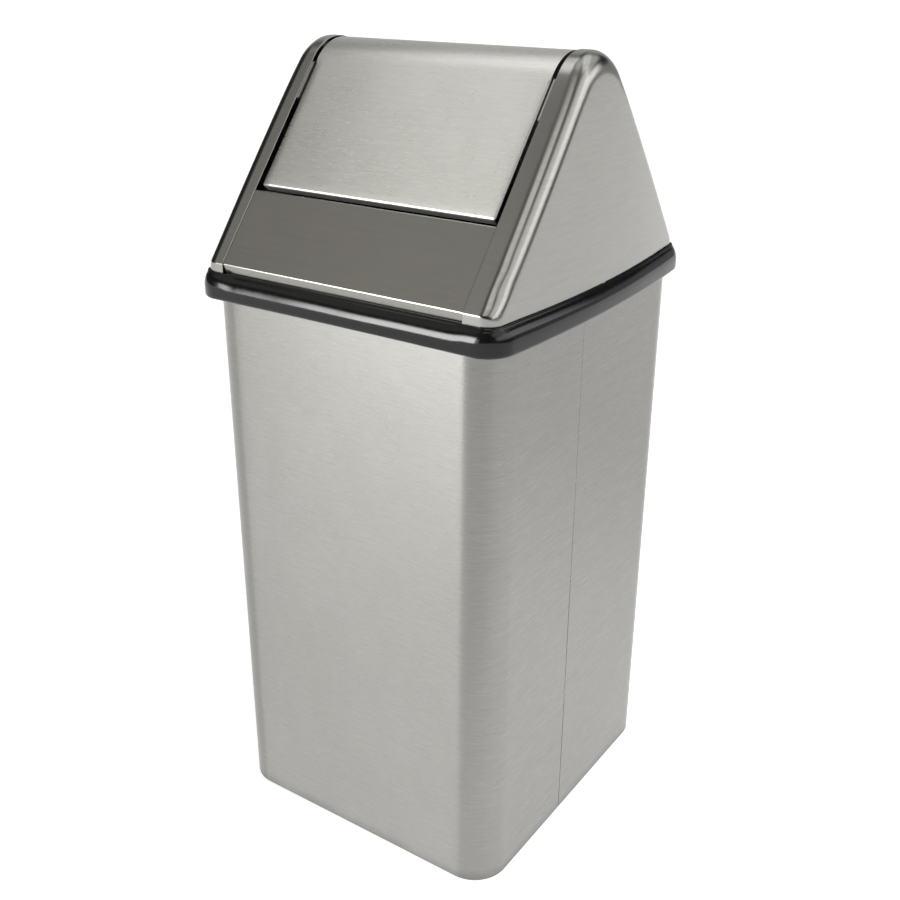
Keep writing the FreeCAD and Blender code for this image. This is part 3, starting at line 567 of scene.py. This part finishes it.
def cap_surface():
    bend = 1.6
    zb = HOOD_Z0 + bend
    ref = arch(CAP_T, 2.6, zb)
    nu = len(ref)
    low = smooth01((FOLD_Z + 30.0 - ref[:, 1]) / 42.0)
    top = smooth01((58.0 - np.abs(ref[:, 0])) / 46.0)
    share = np.stack([low, 1.0 - low - top, top], 1)
    rc = share @ np.array(CAP_RC)
    cols, foot_T, foot_n = [], [], []

    def throat(f):
        """Point of the throat's outline: f 0..1 round its corner, 1..2 along its side."""
        a0 = math.asin((FLANGE_X - (THROAT_HX - THROAT_R)) / THROAT_R)
        if f <= 1.0:
            a = a0 + (math.pi / 2 - a0) * f
            return (THROAT_HX - THROAT_R + THROAT_R * math.sin(a), -(THROAT_HY - THROAT_R) - THROAT_R * math.cos(a))
        return (THROAT_HX, -(THROAT_HY - THROAT_R) * (2.0 - f))

    for f in [0.0, 0.03, 0.12, 0.30, 0.52, 0.74, 0.92]:
        xe = x_side(ref[:, 0], ref[:, 1]) - rc
        cols.append(np.stack([FLANGE_X + 0.5 + (xe - FLANGE_X - 0.5) * f, ref[:, 0], ref[:, 1]], -1))
        foot_T.append(throat(0.4 * f))
        foot_n.append((0.0, -1.0))
    na = 16
    for i in range(0, na + 1):
        a = 0.5 * math.pi * i / na
        # each point of the outline has its own rounding, so blend the outlines
        yz = sum(share[:, k:k + 1] * arch(CAP_T - r * (1 - math.cos(a)), 2.6 + 9.0 * (i / na), zb)
                 for k, r in enumerate(CAP_RD))
        x = x_side(yz[:, 0], yz[:, 1]) - rc * (1 - math.sin(a))
        cols.append(np.stack([x, yz[:, 0], yz[:, 1]], -1))
        foot_T.append(throat(0.4 + 0.6 * i / na))
        foot_n.append((math.sin(a), -math.cos(a)))
    last = cols[-1]
    for w in [0.02, 0.05, 0.10, 0.17, 0.25, 0.34, 0.44, 0.54, 0.64, 0.74, 0.84, 0.93, 1.0]:
        y = last[:, 1] * (1 - w)
        z = zb + (last[:, 2] - zb) * (1 - w)
        cols.append(np.stack([x_side(y, z), y, z], -1))
        foot_T.append(throat(1.0 + w))
        foot_n.append((1.0, 0.0))
    S = np.stack(cols, 1)
    # hand-worked sheet: a slow wave in the gable and a crease over the lower front corners
    nv = S.shape[1]
    y, z = S[..., 1], S[..., 2]
    wav = 0.22 * np.sin(y / 44.0 + z / 60.0 + 0.8) + 0.15 * np.sin(z / 31.0 - y / 80.0)
    inner = smooth01((np.arange(nv) - (7 + na)) / 5.0)[None, :]
    S[..., 0] += wav * inner * smooth01((z - 588.0) / 40.0)
    for (sy, sz, wid, amp) in ((-159.0, 606.0, 8.0, -0.75), (-149.0, 618.0, 9.0, 0.55), (-166.0, 595.0, 6.0, 0.35)):
        d2 = ((np.abs(y) * np.where(y < 0, 1.0, 50.0) + sy) ** 2 + (z - sz) ** 2) / wid ** 2
        col = np.exp(-((np.arange(nv) - (7 + 0.55 * na)) / (0.30 * na)) ** 2)[None, :]
        S[..., 0] += amp * 0.7 * np.exp(-d2) * col
        S[..., 2] += amp * 0.6 * np.exp(-d2) * col
    # foot: turned in under the hood as far as the throat
    T = np.array(foot_T)
    n2 = np.array(foot_n)
    E = S[0][:, :2]
    rows_f = []
    for b in (22.5, 45.0, 67.5, 90.0):
        b = math.radians(b)
        xy = E - n2 * bend * (1 - math.cos(b))
        rows_f.append(np.concatenate([xy, np.full((nv, 1), zb - bend * math.sin(b))], 1))
    base = rows_f[-1][:, :2]
    for f in (0.06, 0.35, 0.7, 0.96):
        rows_f.append(np.concatenate([base + (T - base) * f, np.full((nv, 1), HOOD_Z0)], 1))
    E = S[-1][:, :2]
    n2 = n2 * np.array((1.0, -1.0))
    T = T * np.array((1.0, -1.0))
    rows_r = []
    for b in (22.5, 45.0, 67.5, 90.0):
        b = math.radians(b)
        xy = E - n2 * bend * (1 - math.cos(b))
        rows_r.append(np.concatenate([xy, np.full((nv, 1), zb - bend * math.sin(b))], 1))
    base = rows_r[-1][:, :2]
    for f in (0.06, 0.35, 0.7, 0.96):
        rows_r.append(np.concatenate([base + (T - base) * f, np.full((nv, 1), HOOD_Z0)], 1))
    return np.concatenate([np.stack(rows_f[::-1]), S, np.stack(rows_r)], 0)


def end_caps():
    P = cap_surface()
    v, f = sheet(P, CAP_T, (60.0, 0.0, 640.0), round_end=(True, False))
    build("cap_right", v, f, "hood", "stainless_hood", ["right_end_cap"])
    build("cap_left", v * np.array((-1.0, -1.0, 1.0)), f, "hood", "stainless_hood", ["left_end_cap"])


end_caps()


# ------------------------------------------------------------------ hood: lower panels
def pf(s, off):
    return (-FOLD_Y + s * COS - off * SIN, FOLD_Z + s * SIN + off * COS)


def panel_surface():
    """Outer face of the front panel: foot, skirt that leans back under the fold, slope, turned-in lip."""
    path, half = [], []

    def go(y, z, hw):
        path.append((y, z))
        half.append(hw)

    lean = math.radians(13.0)
    rb, rf, rt = 1.6, 2.4, 1.3
    zf = FOLD_Z
    turn = math.pi / 2 - SLOPE + lean
    Tf = rf * math.tan(turn / 2)
    # fold: apex, with the skirt going down and back from it
    sk = np.array((math.sin(lean), -math.cos(lean)))
    apex = np.array((-FOLD_Y, zf))
    sk0 = apex + sk * Tf
    zfoot = HOOD_Z0
    # bottom bend between the leaning skirt and the level foot
    turn_b = math.pi / 2 - lean
    Tb = rb * math.tan(turn_b / 2)
    corner = apex + sk * ((zf - zfoot) / math.cos(lean))
    b0 = corner + np.array((Tb, 0.0))
    b1 = corner - sk * Tb
    hw_foot = FLANGE_X - 0.8
    for y in (-THROAT_HY - 0.5, -THROAT_HY - 1.2, -THROAT_HY - 8.0, b0[0] - 0.4 + 1.0):
        go(y, zfoot, hw_foot)
    cb = np.array((b0[0], zfoot + rb))
    for i in range(0, 7):
        a = -math.pi / 2 - turn_b * i / 6
        go(cb[0] + rb * math.cos(a), cb[1] + rb * math.sin(a), hw_foot)
    for f in (0.12, 0.3, 0.5, 0.7, 0.86, 0.96):
        q = b1 + (sk0 - b1) * f
        go(q[0], q[1], LAP_X if q[1] > 576.0 else hw_foot + (LAP_X - hw_foot) * smooth01((q[1] - 571.5) / 4.5))
    # centre of the fold's bend
    nsk = np.array((-math.cos(lean), -math.sin(lean)))      # outward from the skirt
    cf = sk0 - nsk * rf
    a0 = math.atan2(nsk[1], nsk[0])
    for i in range(0, 9):
        a = a0 - turn * i / 8
        go(cf[0] + rf * math.cos(a), cf[1] + rf * math.sin(a), LAP_X)
    s1 = PANEL_S - rt
    for s in steps(Tf, s1, 6.0, 0.7)[1:-1]:
        go(*pf(s, 0.0), LAP_X)
    for i in range(0, 7):
        a = 0.5 * math.pi * i / 6
        go(*pf(s1 + rt * math.sin(a), -rt + rt * math.cos(a)), LAP_X)
    for o in (-rt - 0.6, -4.0, -PANEL_LIP + 1.0, -PANEL_LIP + 0.5):
        go(*pf(PANEL_S, o), LAP_X)
    xs = np.array(steps(-1.0, 1.0, 0.055))
    e = 0.5 / LAP_X
    xs = np.concatenate([[-1.0 + e, -1.0 + 3 * e], xs[1:-1], [1.0 - 3 * e, 1.0 - e]])
    P = np.zeros((len(path), len(xs), 3))
    for i, ((y, z), hw) in enumerate(zip(path, half)):
        P[i, :, 0] = xs * hw
        P[i, :, 1] = y
        P[i, :, 2] = z
    # faint waves along the long flat
    s = (P[..., 2] - FOLD_Z) / SIN
    amt = smooth01((s - 6.0) / 20.0) * smooth01((PANEL_S - 6.0 - s) / 18.0) * smooth01((LAP_X - 14.0 - np.abs(P[..., 0])) / 25.0)
    amt = np.where(P[..., 1] < -115.0, amt, 0.0)
    d = (0.10 * np.sin(P[..., 0] / 39.0 + s / 30.0) + 0.07 * np.sin(P[..., 0] / 17.0 - s / 22.0 + 1.0) - 0.05) * amt
    P[..., 1] -= d * SIN
    P[..., 2] += d * COS
    return P


def panels():
    P = panel_surface()
    v, f = sheet(P, SHEET, (0.0, -100.0, 600.0))
    build("panel_front", v, f, "hood", "stainless_panel", ["front_panel"])
    build("panel_rear", v * np.array((1.0, -1.0, 1.0)), f, "hood", "stainless_panel", ["rear_panel"])


panels()


# ------------------------------------------------------------------ hood: bumper band
def bow_path(amid, rs, hy, r, n_front, n_cor, n_side):
    """Outline with bowed sides, counter-clockwise from the front's left end; points and outward normals."""
    ox = amid - rs
    dy = hy - r
    cx = ox + math.sqrt((rs - r) ** 2 - dy ** 2)
    uy = dy / (rs - r)
    a_end = math.asin(uy)
    q = []
    for i in range(n_front):
        q.append((-cx + 2 * cx * i / n_front, -hy, 0.0, -1.0))
    for i in range(n_cor):
        a = -math.pi / 2 + (math.pi / 2 - a_end) * i / n_cor
        q.append((cx + r * math.cos(a), -dy + r * math.sin(a), math.cos(a), math.sin(a)))
    for i in range(n_side):
        a = -a_end + 2 * a_end * i / n_side
        q.append((ox + rs * math.cos(a), rs * math.sin(a), math.cos(a), math.sin(a)))
    for i in range(n_cor):
        a = a_end + (math.pi / 2 - a_end) * i / n_cor
        q.append((cx + r * math.cos(a), dy + r * math.sin(a), math.cos(a), math.sin(a)))
    half = np.array(q)
    return np.concatenate([half, half * -1.0])


def rect_path(hx, hy, r, n_front, n_cor, n_side):
    q = []
    cx, cy = hx - r, hy - r
    for i in range(n_front):
        q.append((-cx + 2 * cx * i / n_front, -hy))
    for i in range(n_cor):
        a = -math.pi / 2 + math.pi / 2 * i / n_cor
        q.append((cx + r * math.cos(a), -cy + r * math.sin(a)))
    for i in range(n_side):
        q.append((hx, -cy + 2 * cy * i / n_side))
    for i in range(n_cor):
        a = math.pi / 2 * i / n_cor
        q.append((cx + r * math.cos(a), cy + r * math.sin(a)))
    half = np.array(q)
    return np.concatenate([half, half * -1.0])


def to_hood(x, y, g):
    """How far outside the hood's foot outline, moved out by g, a point lies."""
    r, hy = CAP_RC[0] + g, FOLD_Y + CAP_T + g
    ox, rs, dy = HOOD_AMID - HOOD_RS, HOOD_RS + g, hy - r
    cx = ox + math.sqrt((rs - r) ** 2 - dy ** 2)
    ax, ay = abs(x), abs(y)
    if ax > cx and ay > dy:
        return math.hypot(ax - cx, ay - dy) - r
    return max(math.hypot(ax - ox, ay) - rs, ay - hy)


def rim_band():
    N = (36, 20, 36)
    mid = bow_path(BAND_AMID, BAND_RS, BAND_HY, BAND_R, *N)
    rows = []
    # width of the band's top at each point round it, from the outer face to the hood
    width = []
    for x, y, nx, ny in mid:
        lo, hi = 0.0, 30.0
        for _ in range(50):
            m = 0.5 * (lo + hi)
            lo, hi = (m, hi) if to_hood(x - nx * m, y - ny * m, 0.3) > 0.0 else (lo, m)
        # along the folded panels the lip reaches in to the leaning skirt
        width.append(lo + 2.5 * (smooth01((129.3 - abs(x)) / 3.0) if abs(ny) > 0.99 else 0.0))
    width = np.array(width)

    # the lip stands a little higher towards the corners and along the panels
    flat_end = np.abs(mid[:, 3]) > 0.99
    lip = np.where(flat_end, 579.9, 578.7 + 1.2 * np.clip(np.abs(mid[:, 1]) / 140.0, 0.0, 1.0) ** 2)
    low = np.where(flat_end, 555.6 + 0.6 * smooth01((150.0 - np.abs(mid[:, 0])) / 120.0), 555.4)
    RHO = 19.0
    beta = np.arcsin(1.0 - width / RHO)
    z_eq = lip - RHO * np.cos(beta)

    def shoulder(d):
        k = np.clip(1.0 - d / RHO, 0.0, 1.0)
        return z_eq + RHO * np.sqrt(1.0 - k * k)

    def inward(d, z):
        rows.append(np.stack([mid[:, 0] - mid[:, 2] * d, mid[:, 1] - mid[:, 3] * d, np.broadcast_to(z, d.shape)], 1))

    def rect(hx, hy, r, z):
        p = rect_path(hx, hy, r, *N)
        rows.append(np.concatenate([p, np.full((len(p), 1), z)], 1))

    bead = np.minimum(1.0, width / 6.0)
    inward(width, HOOD_Z0 - 0.05)
    inward(width, HOOD_Z0 + 0.4 * (lip - HOOD_Z0))
    inward(width, lip - 0.7)
    # small bead where the band's soft lip presses on the hood
    inward(width - 0.06 * bead, lip - 0.15)
    inward(width - 0.30 * bead, lip + 0.18 * bead)
    inward(width - 0.75 * bead, lip + 0.24 * bead)
    inward(width - 1.20 * bead, lip + 0.08 * bead)
    first = len(rows)
    # upper shoulder, upright face and crisp lower edge of the section
    for i in range(13, 0, -1):
        d = (width - 1.7 * bead) * (i / 13.0) ** 1.7
        inward(d, shoulder(d))
    none = np.zeros_like(width)
    inward(none, z_eq - 0.3)
    inward(none, 0.5 * (z_eq + low + 3.2))
    for a in (0.0, 14.0, 28.0, 42.0, 56.0, 70.0, 84.0):
        a = math.radians(a)
        inward(none + 3.2 * (1 - math.cos(a)), low + 3.2 - 3.2 * math.sin(a))
    last = len(rows)
    g = 1.2
    rect(BODY_HX + g + 0.6, BODY_HY + g + 0.6, BODY_R + g + 0.6, 555.3)
    rect(BODY_HX + g + 0.15, BODY_HY + g + 0.15, BODY_R + g + 0.15, 555.5)
    rect(BODY_HX + g, BODY_HY + g, BODY_R + g, 556.0)
    rect(BODY_HX + g, BODY_HY + g, BODY_R + g, BAND_SEAT - 0.5)
    rect(BODY_HX + g - 0.5, BODY_HY + g - 0.5, BODY_R + g - 0.5, BAND_SEAT)
    rect(155.9, 164.9, 31.9, BAND_SEAT)
    rect(155.5, 164.5, 31.5, BAND_SEAT - 0.5)
    rect(155.5, 164.5, 31.5, BAND_Z0 + 0.5)
    rect(155.1, 164.1, 31.1, BAND_Z0)
    rect(153.9, 162.9, 29.9, BAND_Z0)
    rect(153.5, 162.5, 29.5, BAND_Z0 + 0.5)
    rect(153.5, 162.5, 29.5, BAND_SEAT - 0.5)
    rect(153.0, 162.0, 29.0, BAND_SEAT)
    rect(THROAT_HX + 0.4, THROAT_HY + 0.4, THROAT_R + 0.4, BAND_SEAT)
    rect(THROAT_HX, THROAT_HY, THROAT_R, BAND_SEAT + 0.5)
    rect(THROAT_HX, THROAT_HY, THROAT_R, HOOD_Z0 - 0.55)
    rect(THROAT_HX + 0.4, THROAT_HY + 0.4, THROAT_R + 0.4, HOOD_Z0 - 0.05)
    # soft extrusion: the section wanders a little along its length
    R = np.array(rows)
    n = R.shape[1]
    p = np.arange(n) / n * 2 * math.pi
    wz = 0.22 * np.sin(7 * p + 0.4) + 0.12 * np.sin(17 * p + 1.3)
    wd = 0.16 * np.sin(9 * p + 2.0) + 0.08 * np.sin(23 * p)
    for i in range(first, last):
        k = math.sin(math.pi * (i - first + 0.5) / (last - first))
        R[i, :, 2] += wz * k * 0.7
        R[i, :, :2] += mid[:, 2:] * (wd * k * 0.8 - 0.2 * k)[:, None]
    R[:last, :, 0] -= HOOD_SKEW * R[:last, :, 1]
    v, f = ring_mesh(R)
    build("band", v, f, "hood", "black_band", ["rim_band"], sharp=60.0)


rim_band()


# ------------------------------------------------------------------ swing door
def swing_door():
    bm = bmesh.new()
    stations = []          # (y, z, normal y, normal z)
    s_t = (FOLD_Y - RIDGE_R * SIN) / COS
    s_hem = (FOLD_Y - DOOR_HEM_Y) / COS
    ss = list(np.linspace(DOOR_S, s_hem, 14))
    for s in ss:
        y, z = pf(s, 0.0)
        stations.append((y, z, -SIN, COS))
    n_arc = 30
    for i in range(n_arc + 1):
        q = -SLOPE + 2 * SLOPE * i / n_arc
        stations.append((RIDGE_R * math.sin(q), RIDGE_C + RIDGE_R * math.cos(q), math.sin(q), math.cos(q)))
    for s in ss[::-1]:
        y, z = pf(s, 0.0)
        stations.append((-y, z, SIN, COS))
    xs = np.linspace(-DOOR_HX, DOOR_HX, 29)
    ny = len(stations)
    top = []
    for i, (y, z, nyy, nzz) in enumerate(stations):
        row = []
        for x in xs:
            s = (z - FOLD_Z) / SIN
            a = smooth01((s - DOOR_S - 8.0) / 40.0) * smooth01((DOOR_HX - 10.0 - abs(x)) / 40.0)
            d = a * (0.04 * math.sin(x / 57.0 + y / 60.0 + 0.5) + 0.03 * math.sin(x / 91.0 - y / 44.0))
            row.append(bm.verts.new(((x) * MM, (y + nyy * d) * MM, (z + nzz * d) * MM)))
        top.append(row)
    bm.verts.ensure_lookup_table()
    for i in range(ny - 1):
        for j in range(len(xs) - 1):
            bm.faces.new((top[i][j], top[i][j + 1], top[i + 1][j + 1], top[i + 1][j]))
    # turned-in edges, square to the sheet
    drops = (3.6, 6.3, DOOR_RIM)
    lip = {}

    def lower(i, j, d):
        key = (i, j, d)
        if key not in lip:
            y, z, nyy, nzz = stations[i]
            lip[key] = bm.verts.new((xs[j] * MM, (y - nyy * d) * MM, (z - nzz * d) * MM))
        return lip[key]

    nx = len(xs)
    for i in (0, ny - 1):
        for j in range(nx - 1):
            a, b = top[i][j], top[i][j + 1]
            for d in drops:
                c, e = lower(i, j, d), lower(i, j + 1, d)
                bm.faces.new((a, c, e, b) if i == 0 else (a, b, e, c))
                a, b = c, e
    hem_rows = [i for i in range(ny - 1) if abs(stations[i][0]) > DOOR_HEM_Y - 0.01 and abs(stations[i + 1][0]) > DOOR_HEM_Y - 0.01]
    for j in (0, nx - 1):
        for i in hem_rows:
            a, b = top[i][j], top[i + 1][j]
            for d in drops:
                c, e = lower(i, j, d), lower(i + 1, j, d)
                bm.faces.new((a, b, e, c) if j == 0 else (a, c, e, b))
                a, b = c, e
    bmesh.ops.recalc_face_normals(bm, faces=bm.faces)
    bm.edges.ensure_lookup_table()
    sharp = [e for e in bm.edges if len(e.link_faces) == 2 and e.calc_face_angle() > math.radians(50)]
    bmesh.ops.bevel(bm, geom=sharp, offset=2.0 * MM, offset_type="OFFSET", segments=5, profile=0.5,
                    affect="EDGES", clamp_overlap=True)
    bmesh.ops.recalc_face_normals(bm, faces=bm.faces)
    # outer side faces up at the ridge
    up = max(bm.faces, key=lambda f: f.calc_center_median().z)
    if up.normal.z < 0:
        bmesh.ops.reverse_faces(bm, faces=bm.faces)
    me = bpy.data.meshes.new("door_sheet_open")
    bm.to_mesh(me)
    bm.free()
    tmp = bpy.data.objects.new("door_sheet_open", me)
    bpy.context.scene.collection.objects.link(tmp)
    mod = tmp.modifiers.new("thick", "SOLIDIFY")
    mod.thickness = SHEET * MM
    mod.offset = -1.0
    mod.use_even_offset = True
    mod.use_rim = True
    dg = bpy.context.evaluated_depsgraph_get()
    dg.update()
    solid = bpy.data.meshes.new_from_object(tmp.evaluated_get(dg))
    solid.name = "door_sheet"
    bpy.data.objects.remove(tmp)
    bpy.data.meshes.remove(me)
    ob = place("door_sheet", solid, "door", "stainless_door", ["swing_door"], sharp=50.0)
    return ob


swing_door()


# ------------------------------------------------------------------ carried-over CAD pieces
KEEP = {
    "seam_backing_strip": "stainless_inner", "bottom_pan": "stainless_inner",
    "pivot_bracket_left": "stainless_inner", "pivot_bracket_right": "stainless_inner",
    "door_gusset_left": "stainless_inner", "door_gusset_right": "stainless_inner",
    "seam_tack_welds": "weld", "foot_glides": "foot_rubber", "stop_bumpers": "foot_rubber",
    "foot_rivets": "zinc_steel", "ear_rivets": "zinc_steel", "pivot_pins": "zinc_steel",
    "pin_retainers": "zinc_steel", "band_screws": "zinc_steel", "band_nuts": "zinc_steel",
    "liner_pail": "galvanised", "liner_bottom": "galvanised", "liner_rim_bead": "galvanised",
    "handle_ears": "galvanised", "liner_handle_left": "handle_wire", "liner_handle_right": "handle_wire",
    "thrust_washers": "nylon", "pivot_bushes": "nylon",
}
for node, slot in KEEP.items():
    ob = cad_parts[node]
    if len(ob.material_slots) == 0:
        ob.data.materials.append(MATS[slot])
    for ms in ob.material_slots:
        ms.material = MATS[slot]


# ------------------------------------------------------------------ floor, light
def floor():
    half = 80.0
    me = bpy.data.meshes.new("floor")
    me.from_pydata([(-half, -half, 0), (half, -half, 0), (half, half, 0), (-half, half, 0)], [], [(0, 1, 2, 3)])
    ob = bpy.data.objects.new("floor", me)
    bpy.context.scene.collection.objects.link(ob)
    m, t = new_material("pale_floor")
    co = t.coords()
    tone = t.colour(t.noise(co, 6.0, 3.0, 0.5), [(0.3, (0.715, 0.715, 0.715)), (0.7, (0.73, 0.73, 0.73))])
    # lit from below round the object, as on a light table
    glow = t.ramp(t.vec("DISTANCE", co, (0.45, 0.08, 0.0)), 0.20, 0.95, 0.84, 0.54, True)
    t.shader(Base_Color=tone, Roughness=0.85, Specular_IOR_Level=0.15, Emission_Color=(1.0, 1.0, 1.0, 1.0), Emission_Strength=glow)
    me.materials.append(m)


floor()


def direction(left_deg, el_deg):
    """Unit vector; left_deg turns from the front (-Y) towards the left (-X)."""
    a, e = math.radians(left_deg), math.radians(el_deg)
    return Vector((-math.sin(a) * math.cos(e), -math.cos(a) * math.cos(e), math.sin(e)))


def studio():
    """Soft boxes and a dim room, far away all round, as one procedural sky."""
    w = bpy.data.worlds.new("studio")
    bpy.context.scene.world = w
    w.use_nodes = True
    t = Tree(w.node_tree)
    d = t.vec("NORMALIZE", t.add("ShaderNodeTexCoord").outputs["Generated"])
    sep = t.add("ShaderNodeSeparateXYZ")
    t.link(d, sep.inputs[0])
    z = sep.outputs["Z"]
    total = None

    def plus(vecsock):
        nonlocal total
        total = vecsock if total is None else t.vec("ADD", total, vecsock)

    def softbox(left, el, half_w, half_h, soft, power, colour=(1.0, 1.0, 1.0)):
        c = direction(left, el)
        a = Vector((0, 0, 1)).cross(c).normalized()
        b = c.cross(a).normalized()
        dc = t.math("MAXIMUM", t.vec("DOT_PRODUCT", d, tuple(c)), 1e-4)
        u = t.math("ABSOLUTE", t.math("DIVIDE", t.vec("DOT_PRODUCT", d, tuple(a)), dc))
        v = t.math("ABSOLUTE", t.math("DIVIDE", t.vec("DOT_PRODUCT", d, tuple(b)), dc))
        hw, hh = math.tan(math.radians(half_w)), math.tan(math.radians(half_h))
        mu = t.ramp(u, hw * (1 - soft), hw * (1 + soft), 1.0, 0.0, True)
        mv = t.ramp(v, hh * (1 - soft), hh * (1 + soft), 1.0, 0.0, True)
        k = t.math("MULTIPLY", t.math("MULTIPLY", mu, mv), power)
        plus(t.vec("SCALE", tuple(colour), scale=k))

    # dim room, a little lighter overhead
    wall = t.ramp(z, 0.70, 0.99, 0.03, 0.35, True)
    plus(t.vec("SCALE", (1.0, 0.985, 0.955), scale=wall))
    for b in SOFTBOXES:
        softbox(*b)
    bg = t.add("ShaderNodeBackground")
    t.link(total, bg.inputs["Color"])
    bg.inputs["Strength"].default_value = 1.0
    plain = t.add("ShaderNodeBackground")
    plain.inputs["Color"].default_value = (1.0, 1.0, 1.0, 1.0)
    lp = t.add("ShaderNodeLightPath")
    mix = t.add("ShaderNodeMixShader")
    t.link(lp.outputs["Is Camera Ray"], mix.inputs[0])
    t.link(bg.outputs[0], mix.inputs[1])
    t.link(plain.outputs[0], mix.inputs[2])
    out = t.add("ShaderNodeOutputWorld")
    t.link(mix.outputs[0], out.inputs["Surface"])


# left of the front, elevation, half width, half height (degrees), edge softness, power, colour
SOFTBOXES = [
    (30.0, 7.0, 11.0, 14.0, 0.35, 18.0, (1.0, 1.0, 0.985)),          # tall box, front left
    (14.0, 6.0, 8.0, 11.0, 0.40, 2.6, (1.0, 1.0, 0.985)),           # its dim edge towards the camera
    (50.0, 43.0, 16.0, 10.0, 0.35, 0.42, (1.0, 0.97, 0.92)),        # dim bounce over the front left
    (88.0, 60.0, 9.0, 9.0, 0.35, 1.5, (1.0, 1.0, 1.0)),             # small box, high left
    (-106.0, 22.0, 40.0, 9.0, 0.25, 2.1, (1.0, 1.0, 0.985)),        # long strip, right
    (-88.0, 40.0, 30.0, 9.0, 0.25, 1.25, (1.0, 1.0, 0.985)),        # above it
    (-146.0, 41.0, 22.0, 10.0, 0.30, 0.8, (1.0, 1.0, 0.99)),        # box, right and behind
    (-150.0, 59.0, 24.0, 10.0, 0.30, 1.2, (1.0, 1.0, 0.99)),
    (-24.0, 58.0, 15.0, 9.0, 0.35, 1.3, (1.0, 0.97, 0.92)),         # high over the front
    (122.0, 58.0, 9.0, 9.0, 0.35, 1.2, (1.0, 1.0, 1.0)),            # and one behind it
    (146.0, 20.0, 30.0, 22.0, 0.25, 0.5, (1.0, 1.0, 0.99)),         # dim wall behind left
    (-160.0, 5.0, 24.0, 9.0, 0.30, 0.35, (1.0, 1.0, 0.99)),
    (180.0, 80.0, 14.0, 14.0, 0.35, 0.6, (1.0, 1.0, 1.0)),          # overhead
]
studio()

sc = bpy.context.scene
sc.view_settings.view_transform = "Standard"
sc.view_settings.look = "None"
sc.view_settings.exposure = 0.0
sc.view_settings.gamma = 1.0
